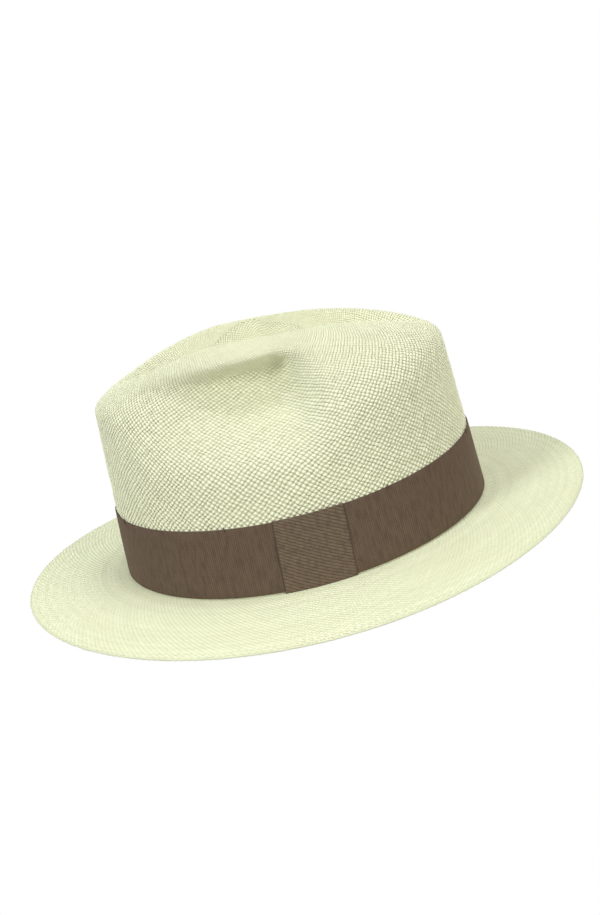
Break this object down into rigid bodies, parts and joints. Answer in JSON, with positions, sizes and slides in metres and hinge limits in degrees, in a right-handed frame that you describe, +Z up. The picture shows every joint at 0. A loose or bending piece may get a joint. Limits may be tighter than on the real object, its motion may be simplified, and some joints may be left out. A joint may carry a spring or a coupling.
{
  "type": "panama hat",
  "caption": "Woven straw fedora with a dented, pinched crown, flat ribbon band with a side wrap, sewn-in sweatband and medium brim.",
  "frame": {"origin": "centre of the head opening, level with the brim break at the back of the hat", "axes": "+Z up towards the crown, -Y the front of the hat, +Y the back, +X the wearer's left, where the ribbon wrap is"},
  "size_m": [0.2864, 0.3226, 0.1258],
  "materials": {
    "straw": "woven toquilla straw, pale greenish cream, satin",
    "ribbon": "brown grosgrain ribbon",
    "ribbon_thread": "brown thread",
    "sweatband": "soft cotton sweatband, sand",
    "reed": "clear plastic reed",
    "binding": "narrow cotton tape, sand",
    "pale_thread": "pale thread"
  },
  "bodies": {
    "root": {"straw_body": "straw", "hat_band": "ribbon", "band_knot": "ribbon", "band_tacks": "ribbon_thread", "sweatband": "sweatband", "sweatband_reed": "reed", "sweatband_binding": "binding", "sweatband_stitching": "pale_thread", "sweatband_join": "binding", "sweatband_bow": "binding"}
  },
  "joints": []
}
